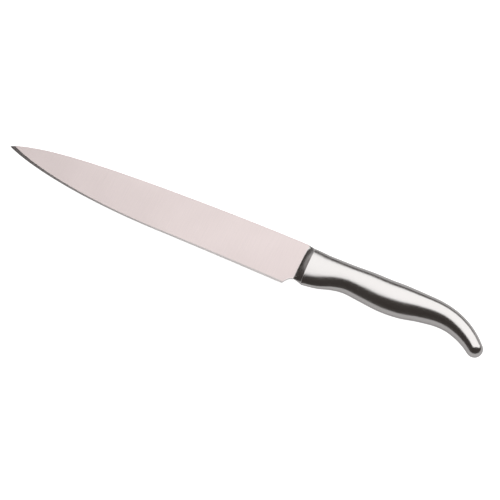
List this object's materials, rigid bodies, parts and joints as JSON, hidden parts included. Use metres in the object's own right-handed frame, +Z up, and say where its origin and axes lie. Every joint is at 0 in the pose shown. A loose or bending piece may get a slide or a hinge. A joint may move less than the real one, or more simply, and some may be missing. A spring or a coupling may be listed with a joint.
{
  "type": "carving knife",
  "caption": "Carving knife with a long plain blade, flared steel bolster and hollow curved steel handle, lying on its side.",
  "frame": {"origin": "bottom centre of the bounding box of the knife lying on its right side", "axes": "+X from tip to butt, +Y toward the spine, +Z up out of the left side of the blade"},
  "size_m": [0.3214, 0.0308, 0.016],
  "materials": {
    "blade_steel": "satin, fine grain across the blade",
    "handle_steel": "satin, grain along the handle",
    "weld_steel": "ground and polished flush",
    "ballast_sand": "loose dry sand, hidden"
  },
  "bodies": {
    "root": {"blade": "blade_steel", "bolster": "handle_steel", "bolster_weld": "weld_steel", "handle_shell_left": "handle_steel", "handle_shell_right": "handle_steel", "spine_weld": "weld_steel", "belly_weld": "weld_steel", "sand_ballast": "ballast_sand", "filler_plug": "handle_steel"}
  },
  "joints": []
}
